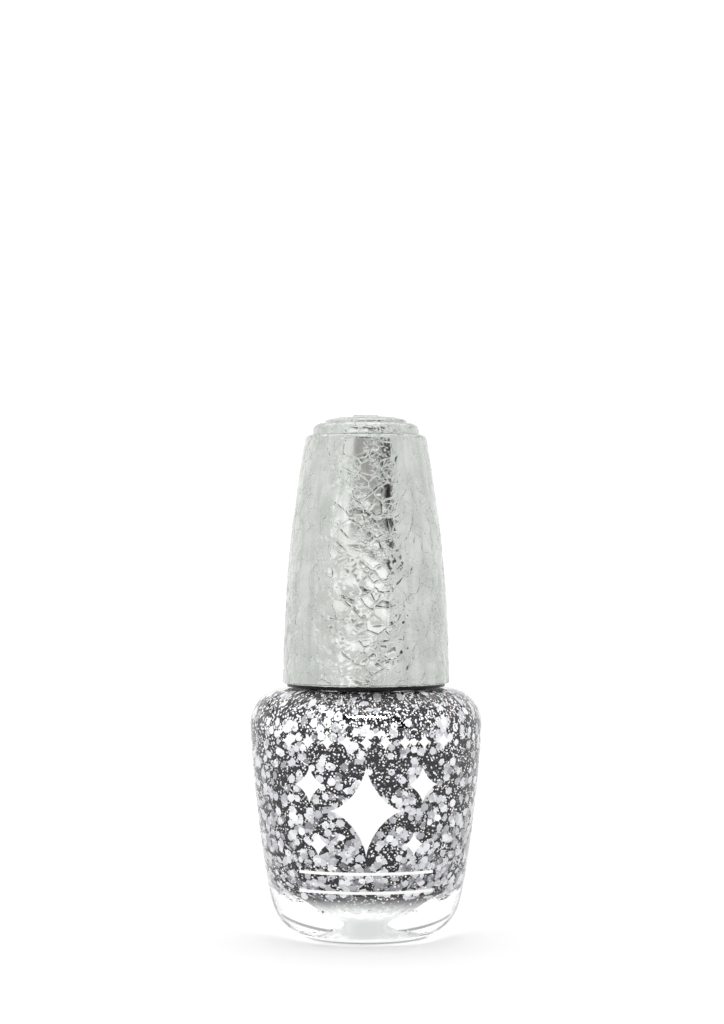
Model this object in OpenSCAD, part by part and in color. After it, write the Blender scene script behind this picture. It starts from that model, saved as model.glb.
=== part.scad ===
// Nail polish bottle: a round tapered glass bottle full of glitter polish, closed by a tall screw cap
// that carries the brush. +Z is up, and the origin is at the centre of the foot, on the table.

/* [Bottle] */
// Largest radius of the glass body
body_r = 16; // [15.7:0.1:16.3]
// Height of the widest level of the body
widest_z = 29.4; // [29:0.1:30]
// Outer radius of the flat ring that the bottle stands on
foot_r = 7; // [6.8:0.1:7.4]
// Radius of the rounded heel above the foot
heel_r = 6.1; // [5.9:0.1:6.2]
// Lean of the side where it leaves the heel, in degrees
heel_lean = 21; // [19:1:22]
// Radius of the rounded shoulder
shoulder_r = 4.9; // [4.7:0.1:5]
// Height of the recess under the bottle
foot_recess = 0.45; // [0.2:0.05:0.8]
// Thickness of the glass in the side
wall_t = 2.1; // [1.9:0.1:2.3]
// Height of the inside floor at its middle, above the thick clear base
floor_z = 4.1; // [4:0.1:4.3]

/* [Neck] */
// Outer radius of the neck below its thread
neck_r = 6.55; // [6.5:0.05:6.6]
// Radius of the bore that the brush passes through
neck_bore_r = 4.2; // [4:0.1:4.4]
// Height of the neck's rim
rim_z = 48.4; // [48:0.1:48.6]
// Radius over the neck's thread
neck_thread_r = 7.25; // [7.1:0.05:7.25]
// Rise of the thread for one turn, 12 threads to the inch
pitch = 2.1167; // [2.1167]
// Turns of thread on the neck
thread_turns = 1.5; // [1:0.25:1.75]

/* [Cap] */
// Radius of the cap at its lower edge
cap_r = 11.47; // [11.4:0.01:11.6]
// Height of the cap's lower edge
cap_z = 34.95; // [34.9:0.05:35]
// Height of the cap's upper edge
cap_top_z = 69.25; // [69:0.05:70]
// Radius of the long curve in the cap's side, which leans inward as it rises
cap_bow_r = 184; // [180:1:200]
// Thickness of the cap's wall
cap_t = 1.3; // [1.2:0.1:1.4]
// Radius of the step on top of the cap
step_r = 7.35; // [7.2:0.05:7.5]
// Height of the step's upper face
step_z = 70.85; // [70.7:0.05:71]
// Radius of the raised disc on the step
disc_r = 5.65; // [5.4:0.05:5.8]
// Height of the whole object, at the button in the middle of the disc
total_h = 72; // [71.9:0.05:72.2]

/* [Brush] */
// Radius of the stem under its collar
stem_r = 2; // [1.9:0.05:2.1]
// Radius of the stem at its lower end
stem_tip_r = 1.6; // [1.55:0.05:1.7]
// Height of the stem's lower end, where the bristles come out
stem_z = 23; // [22:0.5:24]
// Radius of the tuft of bristles where it is widest
tuft_r = 2; // [1.8:0.05:2.05]
// Height of the tip of the bristles
tip_z = 8.2; // [8:0.1:9]

/* [Contents] */
// Height of the surface of the polish
fill_z = 33.4; // [32.8:0.1:33.6]
// Radius of a mixing ball
ball_r = 2; // [1.5:0.1:2]
// Number of mixing balls
ball_n = 2; // [1:1:3]

/* [Print] */
// Half height of the large printed star
star_h = 6.2; // [5:0.1:6.5]
// Half width of the printed lines
line_w = 9; // [8:0.5:10]
// Half width of the row of small stars
row_w = 10.4; // [9.6:0.1:10.6]

/* [Hidden] */

$fn = 96;
arc_steps = 8;          // straight bands in a quarter-turn rounding
side_steps = 10;        // straight bands up the side of the body
film = 0.05;            // gap between the polish and what it wets
ink_gap = 0.01;         // gap between the ink and the glass

// Body and shoulder
shoulder_x = body_r - shoulder_r;
shoulder_z = widest_z + shoulder_r;
neck_fillet_r = 1;
rim_round_r = 0.7;
rim_chamfer = 0.3;
foot_ring_w = 1.4;
low_pull = 4.34;        // how far the side's curve follows the heel's lean
high_pull = 3.86;       // how far it comes up straight to the widest level
dish_r = 15;            // radius of the dished inside floor
dish_angle = 26;        // angle of the dish from its middle to its edge
inner_low_pull = 8;
inner_lean = 28;        // lean of the inside where it leaves its own heel, in degrees
inner_heel_r = 7.5;
inner_heel = [0, floor_z + dish_r] + (dish_r - inner_heel_r) * [sin(dish_angle), -cos(dish_angle)];
inner_body_r = body_r - wall_t;
inner_shoulder_r = shoulder_r - wall_t;
throat_r = 1.2;         // rounding between the shoulder and the bore
throat_rise = 0.4;      // how far the ceiling of the cavity rises toward that rounding
throat_z = shoulder_z - wall_t + throat_rise;

// Thread
thread_base_w = 1.5;
thread_tip_w = 0.7;
thread_h = neck_thread_r - neck_r;
thread_bite = 0.3;      // how far a thread is sunk into the wall that carries it
thread_gap = 0.1;       // radial gap between the crests of the two threads
thread_z = 43;          // where the neck's thread starts
thread_fade = 0.25;     // part of a turn in which a thread's end grows to its full height
thread_segments = 36;   // straight pieces in one turn

// Closure
lip_z = 34.55;
lip_r = 10.9;
cap_thread_r = neck_thread_r + thread_gap;
cap_bore_r = cap_thread_r + thread_h;
inner_cap_t = 1;
inner_cap_r = cap_bore_r + inner_cap_t;
rib_n = 12;
rib_w = 1;
rib_slack = 0.08;       // gap between a rib and the outer cap
liner_t = 0.7;
liner_z = rim_z + 0.02;
liner_hole_r = stem_r + 0.4;
liner_r = cap_thread_r - 0.2;
collar_z = liner_z + liner_t + 0.03;
collar_t = 1.1;
collar_r = cap_bore_r - 0.3;
ceiling_z = collar_z + collar_t + 0.08;
ceiling_t = 1.4;
spigot_r = 2.2;
spigot_h = 7.5;
spigot_end_gap = 0.2;
hub_r = 4.1;
fit = 0.05;             // running fit of the stem's spigot in the cap

// Cap top
cap_roof_t = 1.6;
cap_corner_r = 0.75;
cap_corner_from = 10;   // where the corner's rounding meets the leaning side, in degrees
cap_corner_steps = 5;
step_corner_r = 1.2;
disc_z = 71.05;
disc_corner_r = 0.3;
disc_corner_to = 60;    // where the rounding meets the disc's sloping top, in degrees
disc_corner_steps = 3;
disc_top_z = total_h - 0.25;
disc_top_r = 3;
button_r = 1.75;
button_bevel = 0.12;

// Stem and tuft
stem_end_h = 0.4;       // height of the taper at the stem's lower end
stem_end_inset = 0.25;
socket_r = 1.2;
socket_h = 4;
root_r = socket_r - 0.05;
root_gap = 0.1;         // gap over the folded end of the tuft
tuft_full_z = stem_z - 4;
belly_z = tip_z + 3.5;
tuft_tip_r = 1.2;
tuft_tip_h = 0.8;
tuft_round = [0.8, 0.4];   // shares of tuft_tip_r at the last two steps of the rounded tip
anchor_w = 2.7;
anchor_t = 0.4;
anchor_h = 0.9;
anchor_z = stem_z + 2.6;
anchor_gap = 0.02;
well_r = tuft_r + 0.5;
well_z = tip_z - 0.6;

// Mixing balls
ball_ring_r = 5.2;      // distance of a ball from the axis
ball_z = floor_z + dish_r - sqrt(pow(dish_r - film - ball_r, 2) - pow(ball_ring_r, 2));
ball_gap = 0.12;
ball_start = 60;        // direction of the first ball, in degrees
ball_spread = 50;       // degrees between two balls

// Print
ink_t = 0.06;
ink_low_z = 4;          // the ink's skin lies between these two heights
ink_top_z = 32;
star_steps = 8;         // straight pieces in a quarter of a star's outline
star_z = 18.7;
star_aspect = 0.8;
side_stars = [[7.6, 3.4, 2.6], [6.4, -4.6, 1.7]];   // place beside the large star, and half height
dot_place = [9.6, -1.2];
dot_r = 0.45;
line_h = 0.4;
line_z = [10, 7.4];     // heights of the printed lines
row_z = 27.9;           // height of the row of small stars
row_h = 1.15;           // half height of a star in it
row_n = 9;

// The points of a list in the opposite order
function reverse(list) = [for (i = [len(list) - 1:-1:0]) list[i]];

// Points along an arc with its centre at c, from angle a0 to a1, less the ones before the first
function arc(c, r, a0, a1, n = arc_steps, first = 0) =
    [for (i = [first:n]) let (a = a0 + (a1 - a0) * i / n) [c[0] + r * cos(a), c[1] + r * sin(a)]];

// Point at t on the cubic curve with the four control points p
function cubic(p, t) =
    pow(1 - t, 3) * p[0] + 3 * pow(1 - t, 2) * t * p[1] + 3 * (1 - t) * t * t * p[2] + pow(t, 3) * p[3];

// Side that leaves the heel rounding with its centre at c, and ends upright at the radius r.
// Its two ends are left out, because the roundings hold them.
function side(c, heel, lean, r, pull) =
    let (s = c + heel * [cos(lean), -sin(lean)],
         e = [r, widest_z],
         p = [s, s + pull * [sin(lean), cos(lean)], e - [0, high_pull], e])
    [for (i = [1:side_steps - 1]) cubic(p, i / side_steps)];

// Outside of the glass from the foot to the top of the shoulder
function body_outline() = concat(
    arc([foot_r, heel_r], heel_r, -90, -heel_lean),
    side([foot_r, heel_r], heel_r, heel_lean, body_r, low_pull),
    arc([shoulder_x, widest_z], shoulder_r, 0, 90));

// Inside of the glass from the floor to the top of the shoulder
function cavity_outline() = concat(
    arc([0, floor_z + dish_r], dish_r, -90, dish_angle - 90),
    arc(inner_heel, inner_heel_r, dish_angle - 90, -inner_lean, first = 1),
    side(inner_heel, inner_heel_r, inner_lean, inner_body_r, inner_low_pull),
    arc([shoulder_x, widest_z], inner_shoulder_r, 0, 90));

// Radius of the cap's side at the height z, a shallow arc that is upright at the lower edge
function cap_side_r(z) = cap_r - cap_bow_r + sqrt(pow(cap_bow_r, 2) - pow(z - cap_z, 2));

// Star with four points and sides that curve inward, h high from its centre
function star(h) =
    [for (i = [0:4 * star_steps - 1]) let (a = i * 90 / star_steps, c = cos(a), s = sin(a))
        h * [star_aspect * sign(c) * pow(abs(c), 3), sign(s) * pow(abs(s), 3)]];

// Helical thread that rises to the right about +Z, from the wall radius to the crest radius.
// Its ends fade into the wall.
module thread(wall, crest, z) {
    n = floor(thread_turns * thread_segments);
    out = crest > wall ? 1 : -1;
    fade = thread_fade * thread_segments;
    least = 0.1;
    root = wall - out * thread_bite;
    root_w = thread_base_w / 2;
    points = [for (i = [0:n])
        let (a = 360 * i / thread_segments,
             growth = max(least, min(1, i / fade, (n - i) / fade)),
             tip = wall + (crest - wall) * growth,
             tip_w = root_w - (root_w - thread_tip_w / 2) * growth)
        each [for (p = [[root, -root_w], [tip, -tip_w], [tip, tip_w], [root, root_w]])
            [p[0] * cos(a), p[0] * sin(a), z + pitch * i / thread_segments + out * p[1]]]];
    sides = [for (i = [0:n - 1], j = [0:3])
        let (k = (j + 1) % 4)
        each [[4 * i + j, 4 * i + k, 4 * i + 4 + k], [4 * i + j, 4 * i + 4 + k, 4 * i + 4 + j]]];
    ends = [[3, 2, 1, 0], [4 * n, 4 * n + 1, 4 * n + 2, 4 * n + 3]];
    polyhedron(points, concat(sides, ends));
}

// Ring or disc of rectangular section
module ring(r_out, r_in, z, h) {
    translate([0, 0, z]) rotate_extrude() translate([r_in, 0]) square([r_out - r_in, h]);
}

module glass_bottle() {
    color([0.93, 0.95, 0.95, 0.35]) {
        rotate_extrude() polygon(concat(
            [[0, foot_recess], [foot_r - foot_ring_w - foot_recess, foot_recess], [foot_r - foot_ring_w, 0]],
            body_outline(),
            arc([neck_r + neck_fillet_r, shoulder_z + neck_fillet_r], neck_fillet_r, 270, 180),
            arc([neck_r - rim_round_r, rim_z - rim_round_r], rim_round_r, 0, 90),
            [[neck_bore_r + rim_chamfer, rim_z], [neck_bore_r, rim_z - rim_chamfer]],
            arc([neck_bore_r + throat_r, throat_z + throat_r], throat_r, 180, 270),
            reverse(cavity_outline())));
        thread(neck_r, neck_thread_r, thread_z);
    }
}

// Liquid that fills the bottle, with a well for the brush and a track for the mixing balls
module nail_polish() {
    inside = [for (p = cavity_outline()) [max(0, p[0] - film), p[1] + (p[1] < widest_z ? film : -film)]];
    throat = arc([neck_bore_r + throat_r, throat_z + throat_r], throat_r + film, 270, 180);
    color([0.62, 0.64, 0.66]) difference() {
        rotate_extrude() intersection() {
            polygon(concat(inside, throat, [[0, throat_z + throat_r]]));
            square([body_r, fill_z]);
        }
        translate([0, 0, well_z]) cylinder(r = well_r, h = fill_z);
        rotate_extrude() translate([ball_ring_r, ball_z]) circle(r = ball_r + ball_gap);
    }
}

// Steel balls that stir the glitter when the bottle is shaken
module mixing_balls() {
    color([0.75, 0.75, 0.77]) for (i = [0:ball_n - 1])
        rotate(ball_start + i * ball_spread) translate([ball_ring_r, 0, ball_z]) sphere(r = ball_r);
}

// White ornament on the front of the glass, a thin skin cut to shape
module front_print() {
    skin = [for (p = body_outline()) if (p[1] > ink_low_z && p[1] < ink_top_z) [p[0] + ink_gap, p[1]]];
    color("white") intersection() {
        rotate_extrude() polygon(concat(skin, reverse([for (p = skin) [p[0] + ink_t, p[1]]])));
        rotate([90, 0, 0]) linear_extrude(2 * body_r) print_pattern();
    }
}

// Outline of the ornament: a row of small stars, a group of stars and dots, and two lines
module print_pattern() {
    translate([0, star_z]) polygon(star(star_h));
    for (hand = [-1, 1]) {
        for (s = side_stars) translate([hand * s[0], star_z + s[1]]) polygon(star(s[2]));
        translate([hand * dot_place[0], star_z + dot_place[1]]) circle(r = dot_r, $fn = 24);
    }
    for (i = [0:row_n - 1]) translate([row_w * (2 * i / (row_n - 1) - 1), row_z]) polygon(star(row_h));
    for (z = line_z) translate([-line_w, z]) square([2 * line_w, line_h]);
}

// Soft washer that seals the cap on the rim
module cap_liner() {
    color([0.9, 0.9, 0.88]) ring(liner_r, liner_hole_r, liner_z, liner_t);
}

// Stem with the collar that holds it in the cap, the spigot that it hangs by and the socket for the tuft
module brush_stem() {
    shank_z = stem_z + stem_end_h;
    color([0.08, 0.08, 0.09]) difference() {
        union() {
            translate([0, 0, stem_z])
                cylinder(r1 = stem_tip_r - stem_end_inset, r2 = stem_tip_r, h = stem_end_h);
            translate([0, 0, shank_z]) cylinder(r1 = stem_tip_r, r2 = stem_r, h = collar_z - shank_z);
            translate([0, 0, collar_z]) cylinder(r = collar_r, h = collar_t);
            translate([0, 0, collar_z + collar_t]) cylinder(r = spigot_r, h = spigot_h);
        }
        translate([0, 0, stem_z - 1]) cylinder(r = socket_r, h = socket_h + 1);
        anchor_block(0);
    }
}

// Block that the flat wire takes up across the socket, grown by gap on every side
module anchor_block(gap) {
    translate([-anchor_w / 2 - gap, -anchor_t / 2 - gap, anchor_z - gap])
        cube([anchor_w + 2 * gap, anchor_t + 2 * gap, anchor_h + 2 * gap]);
}

// Flat wire pressed across the socket, which holds the folded bristles
module bristle_anchor() {
    color([0.7, 0.7, 0.7]) anchor_block(0);
}

// Tuft of bristles as one closed shape: a straight root, a belly and a rounded tip
module brush_bristles() {
    root_z = stem_z + socket_h - root_gap;
    p = [[root_r, stem_z], [tuft_r, tuft_full_z], [tuft_r, belly_z], [tuft_tip_r, tip_z + tuft_tip_h]];
    color([0.15, 0.14, 0.14]) difference() {
        rotate_extrude() polygon(concat(
            [[0, root_z], [root_r, root_z]],
            [for (i = [0:side_steps]) cubic(p, i / side_steps)],
            [[tuft_tip_r * tuft_round[0], tip_z + tuft_tip_h / 3]],
            [[tuft_tip_r * tuft_round[1], tip_z], [0, tip_z]]));
        anchor_block(anchor_gap);
    }
}

// Ribs on the inner cap that grip the outer cap from inside, between the heights z0 and z1
module grip_ribs(z0, z1) {
    rows = 4;
    root = (cap_bore_r + inner_cap_r) / 2;
    reach = [for (i = [0:rows]) let (z = cap_z + (z1 - cap_z) * i / rows)
        [cap_side_r(z) - cap_t - rib_slack, z]];
    intersection() {
        rotate_extrude() polygon(concat([[root, z0], [reach[0][0], z0]], reach, [[root, z1]]));
        for (i = [0:rib_n - 1]) rotate(i * 360 / rib_n)
            translate([0, -rib_w / 2, z0]) cube([cap_r, rib_w, z1 - z0]);
    }
}

// Threaded cap that screws on the neck and holds the brush, with a lip that shows under the outer cap
module inner_cap() {
    rib_top = ceiling_z + ceiling_t;
    socket_top_z = collar_z + collar_t + spigot_h + spigot_end_gap;
    color([0.03, 0.03, 0.03]) {
        difference() {
            union() {
                ring(inner_cap_r, cap_bore_r, lip_z, ceiling_z - lip_z);
                translate([0, 0, ceiling_z]) cylinder(r = inner_cap_r, h = ceiling_t);
                translate([0, 0, rib_top]) cylinder(r = hub_r, h = spigot_h);
                ring(lip_r, cap_bore_r, lip_z, cap_z - lip_z);
                grip_ribs(lip_z, rib_top);
            }
            translate([0, 0, collar_z]) cylinder(r = spigot_r + fit, h = socket_top_z - collar_z);
        }
        thread(cap_bore_r, cap_thread_r, thread_z - pitch / 2);
    }
}

// Tall cap shell with a stepped top
module outer_cap() {
    rows = 8;
    corner_z = cap_top_z - cap_corner_r;
    roof_z = cap_top_z - cap_roof_t;
    corner = [cap_side_r(corner_z) - cap_corner_r, corner_z];
    outside = [for (i = [0:rows]) let (z = cap_z + (corner_z - cap_z) * i / rows) [cap_side_r(z), z]];
    inside = [for (i = [rows:-1:0]) let (z = cap_z + (roof_z - cap_z) * i / rows) [cap_side_r(z) - cap_t, z]];
    color([0.78, 0.8, 0.79]) rotate_extrude() polygon(concat(
        outside,
        arc(corner, cap_corner_r, cap_corner_from, 90, cap_corner_steps),
        [[step_r, cap_top_z]],
        arc([step_r - step_corner_r, step_z - step_corner_r], step_corner_r, 0, 90),
        [[disc_r, step_z]],
        arc([disc_r - disc_corner_r, disc_z], disc_corner_r, 0, disc_corner_to, disc_corner_steps),
        [[disc_top_r, disc_top_z], [button_r + button_bevel, disc_top_z],
         [button_r, total_h - button_bevel], [button_r - button_bevel, total_h],
         [0, total_h], [0, roof_z]],
        inside));
}

glass_bottle();
nail_polish();
mixing_balls();
front_print();
cap_liner();
brush_stem();
bristle_anchor();
brush_bristles();
inner_cap();
outer_cap();
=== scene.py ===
import math

import bmesh
import bpy
import numpy as np
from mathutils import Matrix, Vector, kdtree, noise


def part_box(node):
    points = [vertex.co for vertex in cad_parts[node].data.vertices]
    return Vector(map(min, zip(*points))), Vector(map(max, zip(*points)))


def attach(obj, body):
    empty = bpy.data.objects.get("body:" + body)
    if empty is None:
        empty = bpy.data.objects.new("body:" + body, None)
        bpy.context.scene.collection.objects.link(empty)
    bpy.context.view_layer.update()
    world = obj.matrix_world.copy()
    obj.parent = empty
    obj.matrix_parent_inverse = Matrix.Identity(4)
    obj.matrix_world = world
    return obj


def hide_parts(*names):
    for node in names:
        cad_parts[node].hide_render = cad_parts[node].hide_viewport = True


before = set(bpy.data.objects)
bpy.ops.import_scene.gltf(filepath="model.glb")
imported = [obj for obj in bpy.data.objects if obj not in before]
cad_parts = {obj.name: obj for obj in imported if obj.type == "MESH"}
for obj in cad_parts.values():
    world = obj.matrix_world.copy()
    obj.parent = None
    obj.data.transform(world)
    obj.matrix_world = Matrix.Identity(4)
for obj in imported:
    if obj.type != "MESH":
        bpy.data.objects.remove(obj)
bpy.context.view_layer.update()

# Lengths are in millimetres in the CAD frame, and become metres when a mesh is made.
MM = 0.001


def box_mm(node):
    """Lowest and highest corner of a CAD node, in millimetres."""
    low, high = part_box(node)
    return np.array(low) / MM, np.array(high) / MM


# ---------------------------------------------------------------- sizes from the frame
_, GLASS_HIGH = box_mm("glass_bottle")
_, POLISH_HIGH = box_mm("nail_polish")
CAP_LOW, CAP_HIGH = box_mm("outer_cap")
STEM_LOW, _ = box_mm("brush_stem")
TUFT_LOW, TUFT_HIGH = box_mm("brush_bristles")
BALLS_LOW, BALLS_HIGH = box_mm("mixing_balls")

BODY_R = GLASS_HIGH[0]
RIM_Z = GLASS_HIGH[2]
FILL_Z = POLISH_HIGH[2]
CAP_R = CAP_HIGH[0]
CAP_Z = CAP_LOW[2]
TOTAL_H = CAP_HIGH[2]
STEM_Z = STEM_LOW[2]
TIP_Z = TUFT_LOW[2]
TUFT_R = TUFT_HIGH[0]
BALL_R = (BALLS_HIGH[2] - BALLS_LOW[2]) / 2
BALL_Z = (BALLS_LOW[2] + BALLS_HIGH[2]) / 2

# ---------------------------------------------------------------- sizes of the glass
WIDEST_Z = 29.4
FOOT_R = 7
FOOT_RING_W = 1.4
FOOT_RECESS = 0.45
FOOT_CROWN = 0.35
FOOT_SLOPE_IN = 1.2
FOOT_SLOPE_OUT = 0.4
FOOT_SLOPE_PULL = 0.7
HEEL_R = 6.1
HEEL_LEAN = math.radians(21)
LOW_PULL = 4.34
HIGH_PULL = 3.86
SHOULDER_R = 4.9
SHOULDER_X = BODY_R - SHOULDER_R
SHOULDER_Z = WIDEST_Z + SHOULDER_R
WALL_T = 2.1
FLOOR_Z = 4.1
DISH_R = 15
DISH_ANGLE = 26
INNER_LOW_PULL = 8
INNER_LEAN = math.radians(28)
INNER_HEEL_R = 7.5
NECK_R = 6.55
NECK_BORE_R = 4.2
NECK_FILLET_R = 1
RIM_ROUND_R = 0.7
RIM_EASE_R = 0.3
THROAT_R = 1.2
THROAT_Z = SHOULDER_Z - WALL_T + 0.4
NECK_STEP = 1
THREAD_R = 7.25
THREAD_Z = 43
THREAD_PITCH = 2.1167
THREAD_TURNS = 1.5
THREAD_BASE_W = 1.5
THREAD_TIP_W = 0.7
THREAD_FADE = 0.25
THREAD_ROOM = 1
THREAD_STEP = 0.12
GLASS_SEGMENTS = 192
STIPPLE_Z = 0.9
TOUCHING = 0.05
FILL_ROOM = 0.01

# ---------------------------------------------------------------- sizes of the cap
CAP_BOW_R = 184
CAP_T = 1.3
CAP_TOP_Z = 69.25
CAP_CORNER_R = 0.75
CAP_EDGE_R = 0.2
CAP_ROOF_Z = 67.65
STEP_R = 7.35
STEP_Z = 70.85
STEP_CORNER_R = 1.2
STEP_BEVEL = 0.12
DISC_R = 5.65
DISC_Z = 71.05
DISC_BEVEL = 0.1
DISC_CORNER_R = 0.3
DISC_DOME_PULL = 1
DISC_DOME_RISE = 0.15
DISC_TOP_R = 3
DISC_TOP_Z = TOTAL_H - 0.25
BUTTON_R = 1.75
BUTTON_BEVEL = 0.12


# ---------------------------------------------------------------- outlines
def arc(centre, radius, start, end, steps):
    """Points on an arc in the plane of radius and height. Angles are in degrees."""
    angle = np.radians(np.linspace(start, end, steps + 1))
    return np.column_stack([centre[0] + radius * np.cos(angle), centre[1] + radius * np.sin(angle)])


def cubic(points, steps):
    """Points on the cubic curve with these four control points."""
    t = np.linspace(0, 1, steps + 1)[:, None]
    a, b, c, d = np.array(points, float)
    return (1 - t) ** 3 * a + 3 * (1 - t) ** 2 * t * b + 3 * (1 - t) * t * t * c + t ** 3 * d


def line(start, end, step):
    """Points on a straight line, at most step apart."""
    start, end = np.array(start, float), np.array(end, float)
    steps = max(1, math.ceil(np.linalg.norm(end - start) / step))
    t = np.linspace(0, 1, steps + 1)[:, None]
    return start + (end - start) * t


def joined(*parts):
    """The parts as one outline, without points that repeat."""
    points = np.vstack(parts)
    keep = np.ones(len(points), bool)
    keep[1:] = np.linalg.norm(np.diff(points, axis=0), axis=1) > 1e-4
    return points[keep]


def side(centre, heel, lean, radius, pull, steps):
    """The body's side, from the end of a heel rounding to the widest level."""
    start = np.array(centre) + heel * np.array([math.cos(lean), -math.sin(lean)])
    ahead = np.array([math.sin(lean), math.cos(lean)])
    end = np.array([radius, WIDEST_Z])
    return cubic([start, start + pull * ahead, end - [0, HIGH_PULL], end], steps)


def glass_outside():
    """The glass from the middle of its foot to the top of its shoulder."""
    lean = math.degrees(HEEL_LEAN)
    slope_top_r = FOOT_R - FOOT_RING_W - FOOT_SLOPE_IN
    slope_foot_r = FOOT_R - FOOT_RING_W + FOOT_SLOPE_OUT
    return joined(
        line((0, FOOT_RECESS + FOOT_CROWN), (slope_top_r, FOOT_RECESS), 1),
        cubic([(slope_top_r, FOOT_RECESS), (slope_top_r + FOOT_SLOPE_PULL, FOOT_RECESS),
               (slope_foot_r - FOOT_SLOPE_PULL, 0), (slope_foot_r, 0)], 8),
        arc((FOOT_R, HEEL_R), HEEL_R, -90, -lean, 24),
        side((FOOT_R, HEEL_R), HEEL_R, HEEL_LEAN, BODY_R, LOW_PULL, 48),
        arc((SHOULDER_X, WIDEST_Z), SHOULDER_R, 0, 90, 32))


def cavity():
    """The cavity from the middle of its dished floor up the side and over the shoulder to the bore."""
    turn = math.radians(DISH_ANGLE)
    heel = (DISH_R - INNER_HEEL_R) * np.array([math.sin(turn), -math.cos(turn)]) + [0, FLOOR_Z + DISH_R]
    shoulder_top = (SHOULDER_X, SHOULDER_Z - WALL_T)
    throat = (NECK_BORE_R + THROAT_R, THROAT_Z + THROAT_R)
    return joined(
        arc((0, FLOOR_Z + DISH_R), DISH_R, -90, DISH_ANGLE - 90, 12),
        arc(heel, INNER_HEEL_R, DISH_ANGLE - 90, -math.degrees(INNER_LEAN), 20),
        side(heel, INNER_HEEL_R, INNER_LEAN, BODY_R - WALL_T, INNER_LOW_PULL, 44),
        arc((SHOULDER_X, WIDEST_Z), SHOULDER_R - WALL_T, 0, 90, 20),
        line(shoulder_top, (throat[0], THROAT_Z), 0.6),
        arc(throat, THROAT_R, 270, 180, 12))


def wetted_wall():
    """The part of the cavity that the polish touches."""
    outline = cavity()
    return outline[outline[:, 1] <= FILL_Z]


def neck_outline():
    """The neck from the shoulder up over the rim and down the bore, in fine steps where the thread is."""
    fillet_z = SHOULDER_Z + NECK_FILLET_R
    fine_z = THREAD_Z - THREAD_ROOM
    return joined(
        arc((NECK_R + NECK_FILLET_R, fillet_z), NECK_FILLET_R, 270, 180, 10),
        line((NECK_R, fillet_z), (NECK_R, fine_z), NECK_STEP),
        line((NECK_R, fine_z), (NECK_R, RIM_Z - RIM_ROUND_R), THREAD_STEP),
        arc((NECK_R - RIM_ROUND_R, RIM_Z - RIM_ROUND_R), RIM_ROUND_R, 0, 90, 10),
        arc((NECK_BORE_R + RIM_EASE_R, RIM_Z - RIM_EASE_R), RIM_EASE_R, 90, 180, 6),
        line((NECK_BORE_R, RIM_Z - RIM_EASE_R), (NECK_BORE_R, THROAT_Z + THROAT_R), NECK_STEP))


def cap_side_r(z):
    """Radius of the cap's side at a height, a shallow arc that is upright at the lower edge."""
    return CAP_R - CAP_BOW_R + np.sqrt(CAP_BOW_R ** 2 - (z - CAP_Z) ** 2)


def cap_side(offset, low, high, step):
    """The cap's side between two heights, moved inward by offset."""
    z = np.linspace(low, high, math.ceil(abs(high - low) / step) + 1)
    return np.column_stack([cap_side_r(z) - offset, z])


def cap_outside(step):
    """The cap's outer surface from its lower edge to the middle of its top."""
    corner_z = CAP_TOP_Z - CAP_CORNER_R
    corner_x = cap_side_r(corner_z) - CAP_CORNER_R
    edge = (CAP_R - CAP_EDGE_R, CAP_Z + CAP_EDGE_R)
    disc_rim_z = DISC_Z + DISC_CORNER_R
    return joined(
        arc(edge, CAP_EDGE_R, -90, 0, 5),
        cap_side(0, CAP_Z + CAP_EDGE_R, corner_z, step),
        arc((corner_x, corner_z), CAP_CORNER_R, 10, 90, 7),
        line((corner_x, CAP_TOP_Z), (STEP_R + STEP_BEVEL, CAP_TOP_Z), step),
        line((STEP_R, CAP_TOP_Z + STEP_BEVEL), (STEP_R, STEP_Z - STEP_CORNER_R), step),
        arc((STEP_R - STEP_CORNER_R, STEP_Z - STEP_CORNER_R), STEP_CORNER_R, 0, 90, 10),
        line((DISC_R + DISC_BEVEL, STEP_Z), (DISC_R, STEP_Z + DISC_BEVEL), step),
        line((DISC_R, STEP_Z + DISC_BEVEL), (DISC_R, DISC_Z), step),
        arc((DISC_R - DISC_CORNER_R, DISC_Z), DISC_CORNER_R, 0, 70, 5),
        cubic([(DISC_R - DISC_CORNER_R, disc_rim_z), (DISC_R - DISC_DOME_PULL, disc_rim_z + DISC_DOME_RISE),
               (DISC_TOP_R + DISC_DOME_PULL, DISC_TOP_Z), (DISC_TOP_R, DISC_TOP_Z)], 12),
        line((DISC_TOP_R, DISC_TOP_Z), (BUTTON_R + BUTTON_BEVEL, DISC_TOP_Z), 2 * step),
        line((BUTTON_R, DISC_TOP_Z + BUTTON_BEVEL), (BUTTON_R - BUTTON_BEVEL, TOTAL_H), step),
        line((BUTTON_R - BUTTON_BEVEL, TOTAL_H), (0, TOTAL_H), 2 * step))


# ---------------------------------------------------------------- meshes
def mesh_piece(name, verts, faces, materials, face_material=None, smooth=True):
    """A mesh object from points in millimetres. faces is an array whose rows all have the same length."""
    faces = np.asarray(faces, np.int32)
    mesh = bpy.data.meshes.new(name)
    mesh.vertices.add(len(verts))
    mesh.vertices.foreach_set("co", (np.asarray(verts, np.float64) * MM).astype(np.float32).ravel())
    width = faces.shape[1]
    mesh.loops.add(faces.size)
    mesh.loops.foreach_set("vertex_index", faces.ravel())
    mesh.polygons.add(len(faces))
    mesh.polygons.foreach_set("loop_start", np.arange(0, faces.size, width, dtype=np.int32))
    for material in materials:
        mesh.materials.append(material)
    if face_material is not None:
        mesh.polygons.foreach_set("material_index", np.asarray(face_material, np.int32))
    mesh.polygons.foreach_set("use_smooth", np.full(len(faces), smooth))
    mesh.update(calc_edges=True)
    mesh.validate()
    piece = bpy.data.objects.new(name, mesh)
    bpy.context.scene.collection.objects.link(piece)
    return piece


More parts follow.
